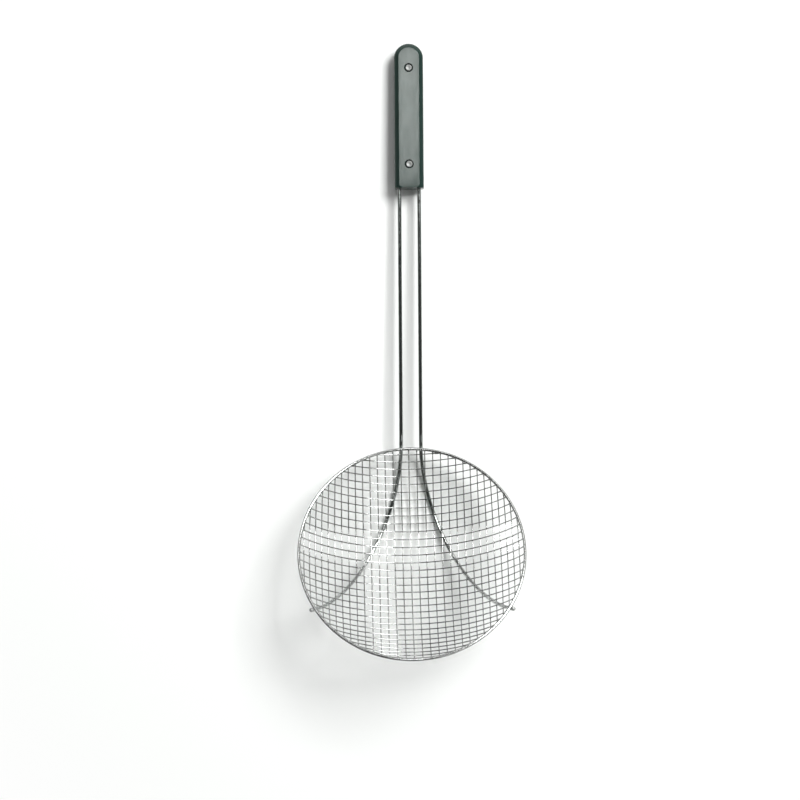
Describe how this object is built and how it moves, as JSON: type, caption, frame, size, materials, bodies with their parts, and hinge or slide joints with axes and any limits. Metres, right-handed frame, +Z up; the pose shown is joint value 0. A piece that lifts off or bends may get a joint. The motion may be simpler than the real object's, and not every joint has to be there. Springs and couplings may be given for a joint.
{
  "type": "fry scoop",
  "caption": "Long-handled fry scoop: round dish of welded wire mesh on a hairpin rod handle with a riveted split grip.",
  "frame": {"origin": "on the table, under the middle of the scoop's box, as it lies with its mouth up", "axes": "+Y along the handle towards the grip, +X across, +Z up off the table"},
  "size_m": [0.2032, 0.549, 0.107],
  "materials": {
    "grip_plastic": "near-black green moulded plastic, satin, with lighter fine-grained flat faces",
    "rivet_metal": "plain rivet heads, lightly brushed",
    "rod_steel": "bright drawn rod, plated",
    "plated_wire": "bright plated wire"
  },
  "bodies": {
    "root": {"grip_front_scale": "grip_plastic", "grip_rear_scale": "grip_plastic", "upper_rivet": "rivet_metal", "lower_rivet": "rivet_metal", "handle_rod": "rod_steel", "rim_ring": "plated_wire", "warp_wire_01": "plated_wire", "warp_wire_02": "plated_wire", "warp_wire_03": "plated_wire", "warp_wire_04": "plated_wire", "warp_wire_05": "plated_wire", "warp_wire_06": "plated_wire", "warp_wire_07": "plated_wire", "warp_wire_08": "plated_wire", "warp_wire_09": "plated_wire", "warp_wire_10": "plated_wire", "warp_wire_11": "plated_wire", "warp_wire_12": "plated_wire", "warp_wire_13": "plated_wire", "warp_wire_14": "plated_wire", "warp_wire_15": "plated_wire", "warp_wire_16": "plated_wire", "warp_wire_17": "plated_wire", "warp_wire_18": "plated_wire", "warp_wire_19": "plated_wire", "warp_wire_20": "plated_wire", "warp_wire_21": "plated_wire", "warp_wire_22": "plated_wire", "warp_wire_23": "plated_wire", "warp_wire_24": "plated_wire", "warp_wire_25": "plated_wire", "weft_wire_01": "plated_wire", "weft_wire_02": "plated_wire", "weft_wire_03": "plated_wire", "weft_wire_04": "plated_wire", "weft_wire_05": "plated_wire", "weft_wire_06": "plated_wire", "weft_wire_07": "plated_wire", "weft_wire_08": "plated_wire", "weft_wire_09": "plated_wire", "weft_wire_10": "plated_wire", "weft_wire_11": "plated_wire", "weft_wire_12": "plated_wire", "weft_wire_13": "plated_wire", "weft_wire_14": "plated_wire", "weft_wire_15": "plated_wire", "weft_wire_16": "plated_wire", "weft_wire_17": "plated_wire", "weft_wire_18": "plated_wire", "weft_wire_19": "plated_wire", "weft_wire_20": "plated_wire", "weft_wire_21": "plated_wire", "weft_wire_22": "plated_wire", "weft_wire_23": "plated_wire", "weft_wire_24": "plated_wire", "weft_wire_25": "plated_wire", "weft_wire_26": "plated_wire"}
  },
  "joints": []
}
